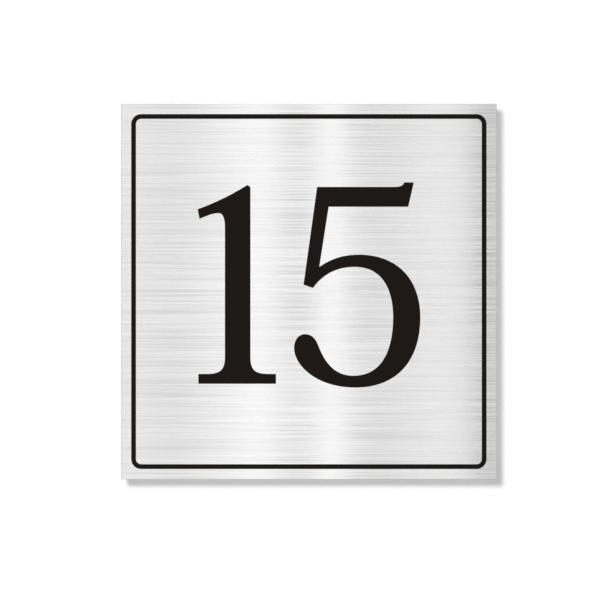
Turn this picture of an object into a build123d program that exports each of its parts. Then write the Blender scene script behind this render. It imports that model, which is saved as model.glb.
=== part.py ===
from build123d import *
import math
import os

# House number sign: a square plate of brushed stainless steel, engraved with a border line
# and the number 15, with black enamel in the engraving.
# Millimetres. +Z is up and the sign faces -Y. The back face lies on y = 0, its middle at the origin.

# Plate
plate_side = 150.0
plate_thickness = 3.0
edge_radius = 0.2  # every edge is broken after the plate is cut

# Engraving and the enamel in it
engraving_depth = 0.4
enamel_sink = 0.06  # the enamel dries this far below the face

# Border line
border_side_margin = 4.05  # from the plate's sides to the outer side of the line
border_end_margin = 4.14  # from its top and bottom
border_width = 1.9
border_inner_radius = 2.1

# Both numerals
numeral_height = 78.62  # from the foot line to the top of the five's bar
numeral_gap = 7.22  # from the foot of the one to the ball of the five
numeral_lift = 2.48  # middle of the numerals above the middle of the plate
numeral_shift = 0.045  # middle of the numerals to the right of the middle of the plate

# Numeral one: stem and foot serif
one_stem_width = 10.2
one_foot_left = 10.6  # reach of the serif beyond the stem
one_foot_right = 10.2
one_foot_thickness = 3.93
one_foot_bracket_reach = 7.7  # hollow curve from the stem out along the serif
one_foot_bracket_rise = 6.95

# Numeral one: flag at the top left
one_apex_rise = 0.8  # apex above the numeral height
one_apex_cut_width = 1.2  # small slanting cut at the apex
one_apex_cut_height = 0.9
one_flag_reach = 10.9  # from the stem to the tip
one_flag_drop = 9.7  # from the apex to the tip
one_flag_hollow = 0.6  # sag of the flag's upper edge
one_flag_tip_height = 3.88
one_flag_tip_slant = 0.75
one_flag_under_rise = 2.3  # from the tip up to the crown of the underside
one_flag_under_angle = 22.5
one_flag_crown_reach = 2.6  # from the stem to that crown
one_flag_crown_drop = 6.75  # from that crown down to the stem

# Numeral five: bar and the tick at its right end
five_width = 50.43
five_bar_thickness = 7.93
five_bar_inset = 4.85  # bar's lower right corner inside the numeral's right side
five_bar_end_slant = 2.25
five_tick_rise = 1.8
five_tick_width = 3.88
five_tick_bracket = 4.25
five_tick_angle = 75.0

# Numeral five: leaning stem
five_stem_left = 3.77  # lower left corner from the numeral's left side
five_stem_lean = 5.42  # from that corner to the upper left one
five_stem_head_width = 5.74  # under the bar
five_stem_join_width = 5.33  # where the bowl leaves it
five_stem_drop = 12.0  # stem's lower left corner below the top of the bowl
five_toe_reach = 3.8
five_toe_fall = 1.3
five_toe_angle = 54.0

# Numeral five: bowl
five_bowl_drop = 27.05  # top of the bowl below the numeral height
five_bowl_overshoot = 1.5  # bottom of the bowl below the foot line
five_bowl_waist_lift = 1.5  # widest level above the bowl's middle
five_bowl_stroke = 10.88  # thickness on the right
five_bowl_top_stroke = 4.9
five_bowl_bottom_stroke = 4.72
five_bowl_crown = 25.9  # highest point of the outer line, from the left side
five_bowl_crown_offset = 1.6  # inner highest point to the left of it
five_bowl_base = 24.5  # lowest point of the outer line, from the left side
five_bowl_base_offset = 0.8  # inner lowest point to the left of it
five_bowl_join_drop = 4.9  # where the bowl leaves the stem, below the bowl's top
five_bowl_join_angle = 35.0

# Numeral five: ball at the end of the bowl
five_ball_side = 14.35  # height of its leftmost point
five_ball_top = 19.8
five_ball_top_left = 4.35
five_neck_left = 9.7  # where the ball runs into the bowl
five_neck_height = 15.2
five_neck_angle = 69.0

# Fullness of the numerals' curves: length of a curve's handles over its straight distance
bowl_pull = 0.435
bowl_low_pull = 0.443  # outer line, from the right down to the lowest point
counter_low_pull = 0.425  # inner line beside it
ball_pull = 0.4
tail_pull = 0.54  # from the bowl's lowest point
tail_end_pull = 0.235  # up to the ball's side
join_pull = 0.36
toe_pull = 0.375
bracket_pull = 0.55
flag_pull = 0.32
crown_pull = 0.36
tick_pull = 0.38

RIGHT, UP, LEFT, DOWN = 0, 90, 180, 270


def along(angle, distance):
    return Vector(math.cos(math.radians(angle)), math.sin(math.radians(angle))) * distance


def curve(start, leaving, end, arriving, pull, end_pull=None):
    """Cubic from start to end that leaves and arrives along the given angles, in degrees."""
    distance = (end - start).length
    handle = along(leaving, distance * pull)
    end_handle = along(arriving, distance * (end_pull or pull))
    return Bezier(start, start + handle, end - end_handle, end)


def lines(*points):
    return [Line(a, b) for a, b in zip(points, points[1:])]


def outline(*edges):
    """Face bounded by edges given in order round it."""
    return make_face(Wire(edges))


def numeral_one():
    """The one, with the middle of its stem on x = 0 and its foot line on y = 0."""
    side = one_stem_width / 2
    foot_left = -side - one_foot_left
    foot_right = side + one_foot_right
    bracket_top = one_foot_thickness + one_foot_bracket_rise
    apex = Vector(side - one_apex_cut_width, numeral_height + one_apex_rise)
    tip = Vector(-side - one_flag_reach, apex.Y - one_flag_drop)
    tip_under = tip + Vector(one_flag_tip_slant, -one_flag_tip_height)
    crown = Vector(-side - one_flag_crown_reach, tip_under.Y + one_flag_under_rise)
    flag_root = Vector(-side, crown.Y - one_flag_crown_drop)
    stem_left = Vector(-side, bracket_top)
    bracket_left = Vector(-side - one_foot_bracket_reach, one_foot_thickness)
    stem_right = Vector(side, bracket_top)
    bracket_right = Vector(side + one_foot_bracket_reach, one_foot_thickness)
    return outline(
        curve(stem_right, DOWN, bracket_right, RIGHT, bracket_pull),
        *lines(
            bracket_right,
            Vector(foot_right, one_foot_thickness),
            Vector(foot_right, 0),
            Vector(foot_left, 0),
            Vector(foot_left, one_foot_thickness),
            bracket_left,
        ),
        curve(bracket_left, RIGHT, stem_left, UP, bracket_pull),
        Line(stem_left, flag_root),
        curve(flag_root, UP, crown, LEFT, crown_pull),
        curve(crown, LEFT, tip_under, LEFT + one_flag_under_angle, flag_pull),
        Line(tip_under, tip),
        SagittaArc(tip, apex, -one_flag_hollow),
        *lines(apex, Vector(side, apex.Y - one_apex_cut_height), stem_right),
    )


def numeral_five():
    """The five, with its left side on x = 0 and its foot line on y = 0."""
    bowl_top = numeral_height - five_bowl_drop
    bowl_bottom = -five_bowl_overshoot
    waist = (bowl_top + bowl_bottom) / 2 + five_bowl_waist_lift
    bar_under = numeral_height - five_bar_thickness

    stem_foot = Vector(five_stem_left, bowl_top - five_stem_drop)
    stem_head = Vector(five_stem_left + five_stem_lean, numeral_height)
    toe = stem_foot + Vector(five_toe_reach, -five_toe_fall)
    lean = (stem_head.X - stem_foot.X) / (stem_head.Y - stem_foot.Y)

    def right_of_stem(height, width):
        return Vector(stem_foot.X + lean * (height - stem_foot.Y) + width, height)

    armpit = right_of_stem(bar_under, five_stem_head_width)
    join = right_of_stem(bowl_top - five_bowl_join_drop, five_stem_join_width)

    bar_end = Vector(five_width - five_bar_inset, bar_under)
    tick_right = Vector(bar_end.X + five_bar_end_slant, numeral_height + five_tick_rise)
    tick_left = tick_right - Vector(five_tick_width, 0)
    tick_root = Vector(tick_left.X - five_tick_bracket, numeral_height)

    crown = Vector(five_bowl_crown, bowl_top)
    right = Vector(five_width, waist)
    base = Vector(five_bowl_base, bowl_bottom)
    ball_side = Vector(0, five_ball_side)
    ball_top = Vector(five_ball_top_left, five_ball_top)
    neck = Vector(five_neck_left, five_neck_height)
    inner_base = base + Vector(-five_bowl_base_offset, five_bowl_bottom_stroke)
    inner_right = right - Vector(five_bowl_stroke, 0)
    inner_crown = crown - Vector(five_bowl_crown_offset, five_bowl_top_stroke)
    return outline(
        *lines(toe, stem_foot, stem_head, tick_root),
        curve(tick_root, RIGHT, tick_left, five_tick_angle, tick_pull),
        *lines(tick_left, tick_right, bar_end, armpit, join),
        curve(join, five_bowl_join_angle, crown, RIGHT, join_pull),
        curve(crown, RIGHT, right, DOWN, bowl_pull),
        curve(right, DOWN, base, LEFT, bowl_low_pull),
        curve(base, LEFT, ball_side, UP, tail_pull, tail_end_pull),
        curve(ball_side, UP, ball_top, RIGHT, ball_pull),
        curve(ball_top, RIGHT, neck, -five_neck_angle, ball_pull),
        curve(neck, -five_neck_angle, inner_base, RIGHT, ball_pull),
        curve(inner_base, RIGHT, inner_right, UP, counter_low_pull),
        curve(inner_right, UP, inner_crown, LEFT, bowl_pull),
        curve(inner_crown, LEFT, toe, LEFT + five_toe_angle, toe_pull),
    )


def border_line():
    """The border line: a rounded frame about the middle of the plate."""
    width = plate_side - 2 * border_side_margin
    height = plate_side - 2 * border_end_margin
    outer = RectangleRounded(width, height, border_inner_radius + border_width)
    inner = RectangleRounded(width - 2 * border_width, height - 2 * border_width, border_inner_radius)
    return outer - inner


def engravings():
    """Each engraved outline in its place on the plate, by the name of its enamel."""
    one_left = one_stem_width / 2 + one_flag_reach
    one_right = one_stem_width / 2 + one_foot_right
    number_width = one_left + one_right + numeral_gap + five_width
    number_left = numeral_shift - number_width / 2
    one_place = number_left + one_left
    five_place = one_place + one_right + numeral_gap
    foot_line = numeral_lift - numeral_height / 2
    return {
        "border_enamel": border_line(),
        "numeral_one_enamel": Pos(one_place, foot_line) * numeral_one(),
        "numeral_five_enamel": Pos(five_place, foot_line) * numeral_five(),
    }


def from_engraving_floor(face, height):
    """Solid of the given outline that stands on the floor of the engraving."""
    floor = Plane.XZ.offset(plate_thickness - engraving_depth)
    return extrude(floor * face, amount=height)


def blank_plate():
    middle = Pos(0, -plate_thickness / 2, 0)
    blank = middle * Box(plate_side, plate_thickness, plate_side)
    return fillet(blank.edges(), edge_radius)


plate = blank_plate()
pieces = {}
for name, face in engravings().items():
    plate -= from_engraving_floor(face, engraving_depth)
    pieces[name] = from_engraving_floor(face, engraving_depth - enamel_sink)
pieces["plate"] = plate

os.makedirs("parts", exist_ok=True)
for name, piece in pieces.items():
    piece.label = name
    export_step(piece, f"parts/{name}.step")
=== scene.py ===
import math
import bmesh
import bpy
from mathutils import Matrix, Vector
from mathutils.geometry import interpolate_bezier


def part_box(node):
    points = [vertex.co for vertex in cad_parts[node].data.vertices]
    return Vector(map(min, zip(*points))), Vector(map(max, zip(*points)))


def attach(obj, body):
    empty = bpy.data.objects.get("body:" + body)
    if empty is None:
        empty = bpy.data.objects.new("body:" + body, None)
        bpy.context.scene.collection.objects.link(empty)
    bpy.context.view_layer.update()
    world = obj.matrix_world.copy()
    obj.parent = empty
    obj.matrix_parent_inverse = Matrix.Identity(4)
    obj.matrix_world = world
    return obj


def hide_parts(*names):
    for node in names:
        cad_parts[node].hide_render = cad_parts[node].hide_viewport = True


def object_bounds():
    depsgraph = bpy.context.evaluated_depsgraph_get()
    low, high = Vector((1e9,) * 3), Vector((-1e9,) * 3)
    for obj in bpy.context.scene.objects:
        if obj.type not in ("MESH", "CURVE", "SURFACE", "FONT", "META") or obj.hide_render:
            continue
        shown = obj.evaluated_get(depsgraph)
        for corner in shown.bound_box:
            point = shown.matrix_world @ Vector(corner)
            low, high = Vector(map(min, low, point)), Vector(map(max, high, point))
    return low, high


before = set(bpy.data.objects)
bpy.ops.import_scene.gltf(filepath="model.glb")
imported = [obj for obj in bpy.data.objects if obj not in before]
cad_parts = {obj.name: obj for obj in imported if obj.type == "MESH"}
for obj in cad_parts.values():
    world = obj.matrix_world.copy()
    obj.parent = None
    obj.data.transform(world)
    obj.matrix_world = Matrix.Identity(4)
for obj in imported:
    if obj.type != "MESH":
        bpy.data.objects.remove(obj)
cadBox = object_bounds()
bpy.context.scene.view_settings.view_transform = "Standard"
mm = 0.001
print("frame loaded:", sorted(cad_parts))


# helpers for node trees

def setOrLink(tree, socket, value):
    if isinstance(value, bpy.types.NodeSocket):
        tree.links.new(value, socket)
    else:
        socket.default_value = value


def addNode(tree, kind, settings=None, **inputs):
    node = tree.nodes.new(kind)
    for name, value in (settings or {}).items():
        setattr(node, name, value)
    for name, value in inputs.items():
        setOrLink(tree, node.inputs[name.replace("_", " ")], value)
    return node


def maths(tree, operation, *values):
    node = addNode(tree, "ShaderNodeMath", {"operation": operation})
    for socket, value in zip(node.inputs, values):
        setOrLink(tree, socket, value)
    return node.outputs[0]


def total(tree, values):
    running = values[0]
    for value in values[1:]:
        running = maths(tree, "ADD", running, value)
    return running


def fade(tree, value, start, end):  # 0 at start, 1 at end, smooth between
    node = addNode(tree, "ShaderNodeMapRange", {"interpolation_type": "SMOOTHSTEP"}, Value=value)
    node.inputs["From Min"].default_value = min(start, end)
    node.inputs["From Max"].default_value = max(start, end)
    node.inputs["To Min"].default_value = 0.0 if start < end else 1.0
    node.inputs["To Max"].default_value = 1.0 if start < end else 0.0
    return node.outputs[0]


def newGroup(name, inputs, outputs):
    group = bpy.data.node_groups.new(name, "ShaderNodeTree")
    for socketName, socketType in inputs:
        group.interface.new_socket(socketName, in_out="INPUT", socket_type=socketType)
    for socketName, socketType in outputs:
        group.interface.new_socket(socketName, in_out="OUTPUT", socket_type=socketType)
    given = group.nodes.new("NodeGroupInput").outputs
    result = group.nodes.new("NodeGroupOutput").inputs
    return group, given, result


def useGroup(tree, group, **inputs):
    return addNode(tree, "ShaderNodeGroup", {"node_tree": group}, **inputs).outputs


def newMaterial(name):
    material = bpy.data.materials.new(name)
    material.use_nodes = True
    material.node_tree.nodes.clear()
    return material, material.node_tree


# helpers for modelling

def pick(piece):  # the only thing selected, and active
    bpy.ops.object.select_all(action="DESELECT")
    piece.select_set(True)
    bpy.context.view_layer.objects.active = piece


def openMesh(piece, kind="FACE"):  # edit mode, all selected
    pick(piece)
    bpy.ops.object.mode_set(mode="EDIT")
    bpy.ops.mesh.select_mode(type=kind)
    bpy.ops.mesh.select_all(action="SELECT")


def closeMesh():
    bpy.ops.object.mode_set(mode="OBJECT")


def selectFront(piece, sameHeight):  # the faces at the piece's foremost level
    bpy.ops.mesh.select_all(action="DESELECT")
    mesh = bmesh.from_edit_mesh(piece.data)
    foremost = min(vertex.co.y for vertex in mesh.verts)
    for face in mesh.faces:
        face.select_set(face.calc_center_median().y < foremost + sameHeight)
    bmesh.update_edit_mesh(piece.data)


def selectEdges(piece, chosen):  # the edges for which chosen is true
    mesh = bmesh.from_edit_mesh(piece.data)
    for edge in mesh.edges:
        edge.select_set(chosen(edge))
    bmesh.update_edit_mesh(piece.data)


# effects that the finishes share

effects = {
    "noiseMiddle": 0.5,  # the noise runs about this value
    "rowSpread": 500.0,  # keeps the shading of neighbouring strokes apart
    "cloudDetail": 3.0,
    "cloudSwirl": 0.6,
}


def buildGrainLines():  # straight strokes of uneven thickness, each shaded along its own length, about 0
    group, given, result = newGroup(
        "grainLines",
        [
            ("Along", "NodeSocketFloat"),
            ("Across", "NodeSocketFloat"),
            ("Length", "NodeSocketFloat"),
            ("Thickness", "NodeSocketFloat"),
            ("Detail", "NodeSocketFloat"),
        ],
        [("Lines", "NodeSocketFloat")],
    )
    rows = maths(group, "DIVIDE", given["Across"], given["Thickness"])
    strokes = addNode(group, "ShaderNodeTexVoronoi", {"voronoi_dimensions": "1D"}, W=rows, Scale=1.0)
    chance = addNode(group, "ShaderNodeSeparateColor", Color=strokes.outputs["Color"]).outputs["Red"]
    start = maths(group, "MULTIPLY", chance, effects["rowSpread"])
    place = maths(group, "ADD", start, maths(group, "DIVIDE", given["Along"], given["Length"]))
    noise = addNode(
        group, "ShaderNodeTexNoise", {"noise_dimensions": "1D"},
        W=place, Scale=1.0, Detail=given["Detail"],
    )
    centred = maths(group, "SUBTRACT", noise.outputs["Fac"], effects["noiseMiddle"])
    group.links.new(centred, result["Lines"])
    return group


def buildHandling():  # faint clouds left by wiping and handling, about 0
    group, given, result = newGroup(
        "handling",
        [("Vector", "NodeSocketVector"), ("Size", "NodeSocketFloat")],
        [("Clouds", "NodeSocketFloat")],
    )
    noise = addNode(
        group, "ShaderNodeTexNoise",
        Vector=given["Vector"], Scale=maths(group, "DIVIDE", 1.0, given["Size"]),
        Detail=effects["cloudDetail"], Distortion=effects["cloudSwirl"],
    )
    centred = maths(group, "SUBTRACT", noise.outputs["Fac"], effects["noiseMiddle"])
    group.links.new(centred, result["Clouds"])
    return group


grainLines = buildGrainLines()
handling = buildHandling()
print("shared effects:", grainLines.name, handling.name)


# outlines of the engraving, from the fronts of the solids that fill it,
# with their round stretches smoothed

outline = {
    "nodes": ["border_enamel", "numeral_one_enamel", "numeral_five_enamel"],
    "merge": 0.001 * mm,
    "sameHeight": 0.005 * mm,
    "corner": math.radians(30),  # a sharper turn stays a corner
    "straight": 2.5,  # a side this many times as long as the one beside it is straight
    "handles": 3,  # a curve's handles are its side over this
    "stepTurn": math.radians(2.5),  # along the round stretches
    "shortestStep": 0.07 * mm,
}


def traceFront(node):  # points round each edge of a solid's front
    trace = bpy.data.objects.new("trace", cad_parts[node].data.copy())
    bpy.context.collection.objects.link(trace)
    openMesh(trace)
    bpy.ops.mesh.remove_doubles(threshold=outline["merge"])
    selectFront(trace, outline["sameHeight"])
    bpy.ops.mesh.region_to_loop()
    bpy.ops.mesh.select_all(action="INVERT")
    bpy.ops.mesh.delete(type="EDGE")
    closeMesh()
    bpy.ops.object.convert(target="CURVE")
    loops = [[Vector((point.co.x, point.co.z)) for point in loop.points] for loop in trace.data.splines]
    bpy.data.objects.remove(trace)
    return loops


def heading(before, here, after):  # the way an outline runs at a point, none at a corner
    back = here - before
    onward = after - here
    if back.angle(onward) > outline["corner"]:
        return None
    if back.length > onward.length * outline["straight"]:
        return back.normalized()
    if onward.length > back.length * outline["straight"]:
        return onward.normalized()
    return (back.normalized() * onward.length + onward.normalized() * back.length).normalized()


def handleEnd(points, headings, here, step):  # step is 1 for the handle onward, -1 for the one back
    there = (here + step) % len(points)
    side = points[there] - points[here]
    direction = headings[here]
    if direction is None and headings[there] is not None:  # leaves a corner as it meets the far end
        direction = -headings[there].reflect(side.normalized())
    if direction is None:  # a corner at each end, so a straight side
        return points[here] + side / outline["handles"]
    return points[here] + direction * (step * side.length / outline["handles"])


def smoothLoop(points):  # points along the curves through an outline's points
    after = points[1:] + points[:1]
    before = points[-1:] + points[:-1]
    headings = [heading(*three) for three in zip(before, points, after)]
    loop = []
    for here, (start, end) in enumerate(zip(points, after)):
        leave = handleEnd(points, headings, here, 1)
        arrive = handleEnd(points, headings, (here + 1) % len(points), -1)
        turn = (leave - start).angle(end - arrive)
        most = int((end - start).length / outline["shortestStep"])
        steps = max(1, min(math.ceil(turn / outline["stepTurn"]), most))
        loop += interpolate_bezier(start, leave, arrive, end, steps + 1)[:-1]
    return loop


def drawOutline(node):
    loops = [smoothLoop(points) for points in traceFront(node)]
    print("outline drawn:", node, [len(loop) for loop in loops], "points")
    return loops


def standUp(loops, name, front, back):  # solid of an outline, from one depth to another
    corners = []
    sides = []
    for loop in loops:
        first = len(corners)
        corners += [(point.x, front, point.y) for point in loop]
        sides += [(first + i, first + (i + 1) % len(loop)) for i in range(len(loop))]
    solid = bpy.data.objects.new(name, bpy.data.meshes.new(name))
    solid.data.from_pydata(corners, sides, [])
    bpy.context.collection.objects.link(solid)
    openMesh(solid, "EDGE")
    if len(loops) == 1:
        bpy.ops.mesh.edge_face_add()
    else:
        bpy.ops.mesh.bridge_edge_loops()
    bpy.ops.mesh.select_all(action="SELECT")
    bpy.ops.mesh.extrude_region_move(TRANSFORM_OT_translate={"value": (0, back - front, 0)})
    bpy.ops.mesh.select_all(action="SELECT")
    bpy.ops.mesh.normals_make_consistent(inside=False)
    closeMesh()
    return solid


outlines = {node: drawOutline(node) for node in outline["nodes"]}


# plate of brushed stainless steel: lines along the front, cut marks across the edges, mill finish behind

steel = {
    "edgeRound": 0.2 * mm,
    "edgeSteps": 4,
    "cutterRise": 1 * mm,  # the cutters start this far in front of the plate
    "smoothUnder": math.radians(35),
    "frontShade": 0.697,
    "edgeShade": 0.5,
    "backShade": 0.64,
    "frontRoughness": 0.25,
    "edgeRoughness": 0.42,
    "backRoughness": 0.40,
    "anisotropy": 1.0,
    "acrossBrushing": (0.1, 0.3, 1.0),  # tilted so that no face is square to it
    "faceBegins": 0.9,  # a surface this square to the front or back starts to take its finish
    "faceFull": 0.99,
    # length, thickness and detail of each kind of line
    "longStrokes": (150 * mm, 0.38 * mm, 1.0),
    "shortStrokes": (68 * mm, 0.29 * mm, 0.0),
    "hairs": (30 * mm, 0.1 * mm, 0.0),
    "cutMarks": (6 * mm, 0.25 * mm, 1.0),
    "millMarks": (40 * mm, 0.7 * mm, 1.0),
    "strokeContrast": 0.465,
    "glintContrast": 0.45,  # lifts both ends of the range, so that bright lines stand out too
    "hairContrast": 0.12,
    "strokeRoughness": 1.5,
    "cutContrast": 0.5,
    "millContrast": 0.18,
    "cloudSize": 28 * mm,
    "cloudRoughness": 0.05,
    "reliefDepth": 0.003 * mm,
}


def buildSteel():
    material, tree = newMaterial("brushedSteel")
    place = addNode(tree, "ShaderNodeTexCoord").outputs
    facing = addNode(tree, "ShaderNodeSeparateXYZ", Vector=place["Normal"]).outputs["Y"]
    front = fade(tree, facing, -steel["faceBegins"], -steel["faceFull"])
    back = fade(tree, facing, steel["faceBegins"], steel["faceFull"])
    edge = maths(tree, "SUBTRACT", maths(tree, "SUBTRACT", 1.0, front), back)
    across, deep, up = addNode(tree, "ShaderNodeSeparateXYZ", Vector=place["Object"]).outputs
    around = maths(tree, "ADD", across, up)  # runs along each of the four edges

    def lines(kind, along, over):
        length, thickness, detail = steel[kind]
        return useGroup(
            tree, grainLines,
            Along=along, Across=over, Length=length, Thickness=thickness, Detail=detail,
        )["Lines"]

    longStrokes = lines("longStrokes", across, up)
    shortStrokes = lines("shortStrokes", across, up)
    strokes = maths(tree, "ADD", longStrokes, shortStrokes)
    hairs = lines("hairs", across, up)
    cuts = lines("cutMarks", deep, around)
    mill = lines("millMarks", up, across)
    clouds = useGroup(tree, handling, Vector=place["Object"], Size=steel["cloudSize"])["Clouds"]

    frontLines = total(tree, [
        maths(tree, "MULTIPLY", strokes, steel["strokeContrast"]),
        maths(tree, "MULTIPLY", maths(tree, "MULTIPLY", strokes, strokes), steel["glintContrast"]),
        maths(tree, "MULTIPLY", hairs, steel["hairContrast"]),
    ])
    edgeLines = maths(tree, "MULTIPLY", cuts, steel["cutContrast"])
    backLines = maths(tree, "MULTIPLY", mill, steel["millContrast"])

    def zone(mask, level, change):  # a zone's own level, varied by its lines
        varied = maths(tree, "MULTIPLY", maths(tree, "ADD", change, 1.0), level)
        return maths(tree, "MULTIPLY", varied, mask)

    shade = total(tree, [
        zone(front, steel["frontShade"], frontLines),
        zone(edge, steel["edgeShade"], edgeLines),
        zone(back, steel["backShade"], backLines),
    ])
    roughness = total(tree, [
        zone(front, steel["frontRoughness"], maths(tree, "MULTIPLY", strokes, steel["strokeRoughness"])),
        zone(edge, steel["edgeRoughness"], edgeLines),
        zone(back, steel["backRoughness"], backLines),
        maths(tree, "MULTIPLY", clouds, steel["cloudRoughness"]),
    ])
    relief = total(tree, [
        maths(tree, "MULTIPLY", maths(tree, "ADD", strokes, hairs), front),
        maths(tree, "MULTIPLY", cuts, edge),
        maths(tree, "MULTIPLY", mill, back),
    ])
    bump = addNode(tree, "ShaderNodeBump", Height=relief, Distance=steel["reliefDepth"])
    grain = addNode(tree, "ShaderNodeCombineXYZ")
    for socket, value in zip(grain.inputs, steel["acrossBrushing"]):
        socket.default_value = value
    shader = addNode(
        tree, "ShaderNodeBsdfPrincipled",
        Base_Color=shade, Roughness=roughness, Metallic=1.0, Anisotropic=steel["anisotropy"],
        Normal=bump.outputs["Normal"], Tangent=grain.outputs[0],
    )
    addNode(tree, "ShaderNodeOutputMaterial", Surface=shader.outputs[0])
    return material


def engrave(piece, node, front):  # down to the floor that the node's enamel lies on
    cutter = standUp(outlines[node], "cutter", front - steel["cutterRise"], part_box(node)[1].y)
    cut = piece.modifiers.new("engraving", "BOOLEAN")
    cut.operation = "DIFFERENCE"
    cut.solver = "EXACT"
    cut.object = cutter
    pick(piece)
    bpy.ops.object.modifier_apply(modifier=cut.name)
    bpy.data.objects.remove(cutter)


def buildPlate():
    low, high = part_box("plate")
    bpy.ops.object.select_all(action="DESELECT")
    bpy.ops.mesh.primitive_cube_add(size=1)
    piece = bpy.context.active_object
    piece.name = "facePlate"
    openMesh(piece)
    bpy.ops.transform.resize(value=high - low)
    bpy.ops.transform.translate(value=(low + high) / 2)
    bpy.ops.mesh.bevel(offset=steel["edgeRound"], segments=steel["edgeSteps"])
    closeMesh()
    for node in outline["nodes"]:
        engrave(piece, node, low.y)
    bpy.ops.object.shade_smooth_by_angle(angle=steel["smoothUnder"])
    flats = piece.modifiers.new("flats", "WEIGHTED_NORMAL")  # keeps the large faces flat to the light
    flats.keep_sharp = True
    bpy.ops.object.modifier_apply(modifier=flats.name)
    piece.data.materials.clear()
    piece.data.materials.append(buildSteel())
    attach(piece, "root")
    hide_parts("plate")
    print("plate engraved:", len(piece.data.polygons), "faces")


buildPlate()


# black enamel, run into the engraving and left to level

enamel = {
    "pieces": {
        "border_enamel": "borderLine",
        "numeral_one_enamel": "numeralOne",
        "numeral_five_enamel": "numeralFive",
    },
    "colour": (0.0088, 0.0057, 0.0039, 1.0),
    "specular": 0.05,
    "roughness": 0.34,
    "cloudSize": 9 * mm,
    "cloudRoughness": 0.12,
    "peelSize": 1.6 * mm,
    "peelDepth": 0.003 * mm,
    "climb": 0.045 * mm,  # creeps up the walls of the engraving
    # width and fall of each ring from the walls inwards
    "rings": [(0.02 * mm, 0.025 * mm), (0.025 * mm, 0.02 * mm), (0.015 * mm, 0)],
    "sameHeight": 0.005 * mm,
    "smoothUnder": math.radians(35),
}


def buildEnamel():
    material, tree = newMaterial("blackEnamel")
    place = addNode(tree, "ShaderNodeTexCoord").outputs["Object"]
    clouds = useGroup(tree, handling, Vector=place, Size=enamel["cloudSize"])["Clouds"]
    peel = useGroup(tree, handling, Vector=place, Size=enamel["peelSize"])["Clouds"]
    shift = maths(tree, "MULTIPLY", clouds, enamel["cloudRoughness"])
    bump = addNode(tree, "ShaderNodeBump", Height=peel, Distance=enamel["peelDepth"])
    shader = addNode(
        tree, "ShaderNodeBsdfPrincipled",
        Base_Color=enamel["colour"], Specular_IOR_Level=enamel["specular"],
        Roughness=maths(tree, "ADD", shift, enamel["roughness"]), Normal=bump.outputs["Normal"],
    )
    addNode(tree, "ShaderNodeOutputMaterial", Surface=shader.outputs[0])
    return material


def pourEnamel(node, name, material):
    low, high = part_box(node)
    piece = standUp(outlines[node], name, low.y, high.y)
    openMesh(piece)
    selectFront(piece, enamel["sameHeight"])
    bpy.ops.transform.translate(value=(0, -enamel["climb"], 0))
    for width, fall in enamel["rings"]:
        bpy.ops.mesh.inset(thickness=width, depth=-fall, use_even_offset=True)
    bpy.ops.mesh.select_all(action="SELECT")
    bpy.ops.mesh.normals_make_consistent(inside=False)
    closeMesh()
    bpy.ops.object.shade_smooth_by_angle(angle=enamel["smoothUnder"])
    piece.data.materials.clear()
    piece.data.materials.append(material)
    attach(piece, "root")
    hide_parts(node)
    print("enamel poured:", name, len(piece.data.polygons), "faces")


blackEnamel = buildEnamel()
for node, name in enamel["pieces"].items():
    pourEnamel(node, name, blackEnamel)


# camera, square to the plate

shot = {
    "distance": 3.0,  # from the front of the plate
    "frameWidth": 239.6 * mm,  # what the picture spans there
    "sideways": -3.54 * mm,
    "upwards": -3.37 * mm,
    "sensor": 36.0,
}


def buildCamera():
    lens = bpy.data.cameras.new("shot")
    lens.sensor_width = shot["sensor"]
    lens.lens = shot["sensor"] * shot["distance"] / shot["frameWidth"]
    camera = bpy.data.objects.new("shot", lens)
    camera.location = (shot["sideways"], cadBox[0].y - shot["distance"], shot["upwards"])
    camera.rotation_euler = (math.radians(90), 0, 0)
    bpy.context.collection.objects.link(camera)
    bpy.context.scene.camera = camera
    print("camera:", round(lens.lens, 1), "mm lens")


buildCamera()


# studio: a white wall that runs out into the floor, one soft key, even fill,
# and a scrim for the steel to mirror

def seenDirectly(tree):  # 1 for what the eye, a mirror or glass sees, 0 for light that falls on things
    path = addNode(tree, "ShaderNodeLightPath").outputs
    seen = maths(tree, "MAXIMUM", path["Is Camera Ray"], path["Is Glossy Ray"])
    return maths(tree, "MAXIMUM", seen, path["Is Transmission Ray"])


wall = {
    "gap": 6 * mm,  # behind the plate, for the width of its shadow
    "width": 6.0,
    "height": 3.0,
    "depth": 1.2,
    "floorDrop": 1.4,
    "cove": 0.15,
    "coveSteps": 12,
    "colour": (0.9, 0.9, 0.9, 1.0),
    "lift": 0.18,  # makes the lit wall white to the eye
}


def buildPaint():  # white, and clear from behind, so that the back of the plate can be seen
    material, tree = newMaterial("whitePaint")
    paint = addNode(tree, "ShaderNodeBsdfDiffuse", Color=wall["colour"])
    lift = maths(tree, "MULTIPLY", seenDirectly(tree), wall["lift"])
    glow = addNode(tree, "ShaderNodeEmission", Strength=lift)
    both = addNode(tree, "ShaderNodeAddShader")
    tree.links.new(paint.outputs[0], both.inputs[0])
    tree.links.new(glow.outputs[0], both.inputs[1])
    behind = addNode(tree, "ShaderNodeNewGeometry").outputs["Backfacing"]
    oneSided = addNode(tree, "ShaderNodeMixShader", Fac=behind)
    tree.links.new(both.outputs[0], oneSided.inputs[1])
    tree.links.new(addNode(tree, "ShaderNodeBsdfTransparent").outputs[0], oneSided.inputs[2])
    addNode(tree, "ShaderNodeOutputMaterial", Surface=oneSided.outputs[0])
    return material


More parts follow.
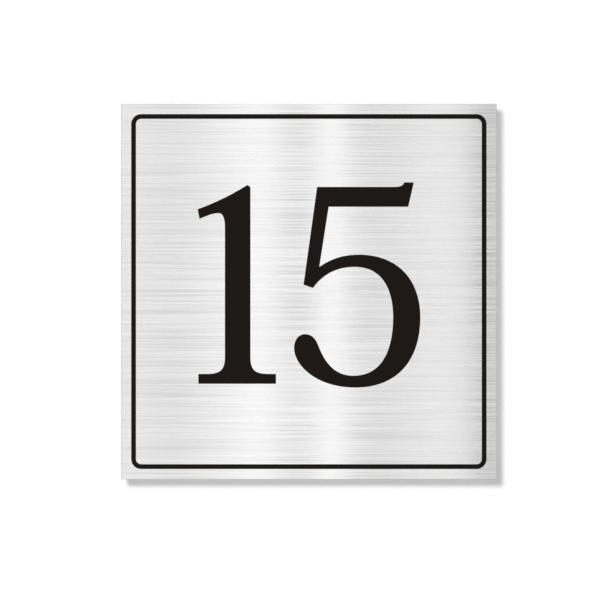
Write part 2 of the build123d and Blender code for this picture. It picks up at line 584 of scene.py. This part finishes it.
def buildWall():
    wallPlace = cadBox[1].y + wall["gap"]
    bpy.ops.object.select_all(action="DESELECT")
    bpy.ops.mesh.primitive_plane_add(size=1)
    sheet = bpy.context.active_object
    sheet.name = "wallAndFloor"
    openMesh(sheet)
    bpy.ops.transform.resize(value=(wall["width"], wall["depth"], 1))
    bpy.ops.transform.translate(value=(0, wallPlace - wall["depth"] / 2, -wall["floorDrop"]))
    bpy.ops.mesh.select_mode(type="EDGE")
    selectEdges(sheet, lambda edge: all(abs(vertex.co.y - wallPlace) < mm for vertex in edge.verts))
    bpy.ops.mesh.extrude_edges_move(TRANSFORM_OT_translate={"value": (0, 0, wall["height"])})
    selectEdges(sheet, lambda edge: len(edge.link_faces) == 2)
    bpy.ops.mesh.bevel(offset=wall["cove"], segments=wall["coveSteps"])
    closeMesh()
    bpy.ops.object.shade_smooth()
    sheet.data.materials.append(buildPaint())
    sheet.visible_glossy = False  # the steel mirrors the scrim and the fill alone
    sheet.visible_diffuse = False
    print("wall and floor:", len(sheet.data.polygons), "faces")


scrim = {
    "distance": 0.111,  # in front of the plate
    "width": 0.9,
    "height": 1.6,
    # from left to right: where each glow shows on the plate or beside it,
    # its half width, and its gain over white
    "glows": [
        (-300 * mm, 60 * mm, -0.3),
        (-225 * mm, 30 * mm, -0.25),
        (-175 * mm, 20 * mm, 0.15),
        (-140 * mm, 25 * mm, -0.24),
        (-74.5 * mm, 16 * mm, 0.186),
        (-34.2 * mm, 15.3 * mm, 0.22),
        (-18.5 * mm, 9.5 * mm, 0.348),
        (8.6 * mm, 7 * mm, 0.513),
        (60 * mm, 24.5 * mm, 0.238),
        (69.6 * mm, 4.5 * mm, -0.405),
        (100 * mm, 22.5 * mm, -0.45),
        (152 * mm, 18 * mm, 0.15),
        (205 * mm, 30 * mm, -0.25),
        (290 * mm, 60 * mm, -0.3),
    ],
}


def buildScrimGlow():
    material, tree = newMaterial("scrimGlow")
    place = addNode(tree, "ShaderNodeTexCoord").outputs["Object"]
    across = addNode(tree, "ShaderNodeSeparateXYZ", Vector=place).outputs["X"]
    mirrored = scrim["distance"] / shot["distance"]  # spread of the mirrored view at the scrim
    level = [1.0]  # white, and then the glows on it
    for spot, halfWidth, gain in scrim["glows"]:
        middle = spot + (spot - shot["sideways"]) * mirrored
        reach = halfWidth * (1 + mirrored)
        off = maths(tree, "DIVIDE", maths(tree, "SUBTRACT", across, middle), reach)
        bell = maths(tree, "EXPONENT", maths(tree, "MULTIPLY", maths(tree, "MULTIPLY", off, off), -1.0))
        level.append(maths(tree, "MULTIPLY", bell, gain))
    glow = addNode(tree, "ShaderNodeEmission", Strength=total(tree, level))
    addNode(tree, "ShaderNodeOutputMaterial", Surface=glow.outputs[0])
    return material


def buildScrim():
    bpy.ops.object.select_all(action="DESELECT")
    bpy.ops.mesh.primitive_plane_add(size=1)
    card = bpy.context.active_object
    card.name = "scrim"
    card.scale = (scrim["width"], scrim["height"], 1)
    card.rotation_euler.x = math.radians(90)
    card.location.y = cadBox[0].y - scrim["distance"]
    bpy.ops.object.transform_apply()
    card.visible_camera = False  # seen in the steel alone
    card.visible_diffuse = False
    card.visible_shadow = False
    card.visible_transmission = False
    card.data.materials.append(buildScrimGlow())
    print("scrim glows:", len(scrim["glows"]))


key = {
    "runs": Vector((0.323, 1.0, -0.356)),  # the way its light falls
    "strength": 2.19,
    "angle": 17.7,  # degrees, for the soft side of the shadow
}


def buildKey():
    lamp = bpy.data.lights.new("key", "SUN")
    lamp.energy = key["strength"]
    lamp.angle = math.radians(key["angle"])
    sun = bpy.data.objects.new("key", lamp)
    sun.rotation_euler = key["runs"].to_track_quat("-Z", "Y").to_euler()
    sun.visible_glossy = False
    bpy.context.collection.objects.link(sun)
    print("key:", key["strength"])


fill = {
    "colour": (1.0, 1.0, 1.0, 1.0),
    "seen": 1.0,  # by the eye and in the steel
    "light": 0.32,  # on the sign and the wall
}


def buildFill():
    world = bpy.data.worlds.new("fill")
    bpy.context.scene.world = world
    world.use_nodes = True
    tree = world.node_tree
    tree.nodes.clear()
    extra = maths(tree, "MULTIPLY", seenDirectly(tree), fill["seen"] - fill["light"])
    level = maths(tree, "ADD", extra, fill["light"])
    back = addNode(tree, "ShaderNodeBackground", Color=fill["colour"], Strength=level)
    addNode(tree, "ShaderNodeOutputWorld", Surface=back.outputs[0])
    print("fill:", fill["light"])


buildWall()
buildScrim()
buildKey()
buildFill()
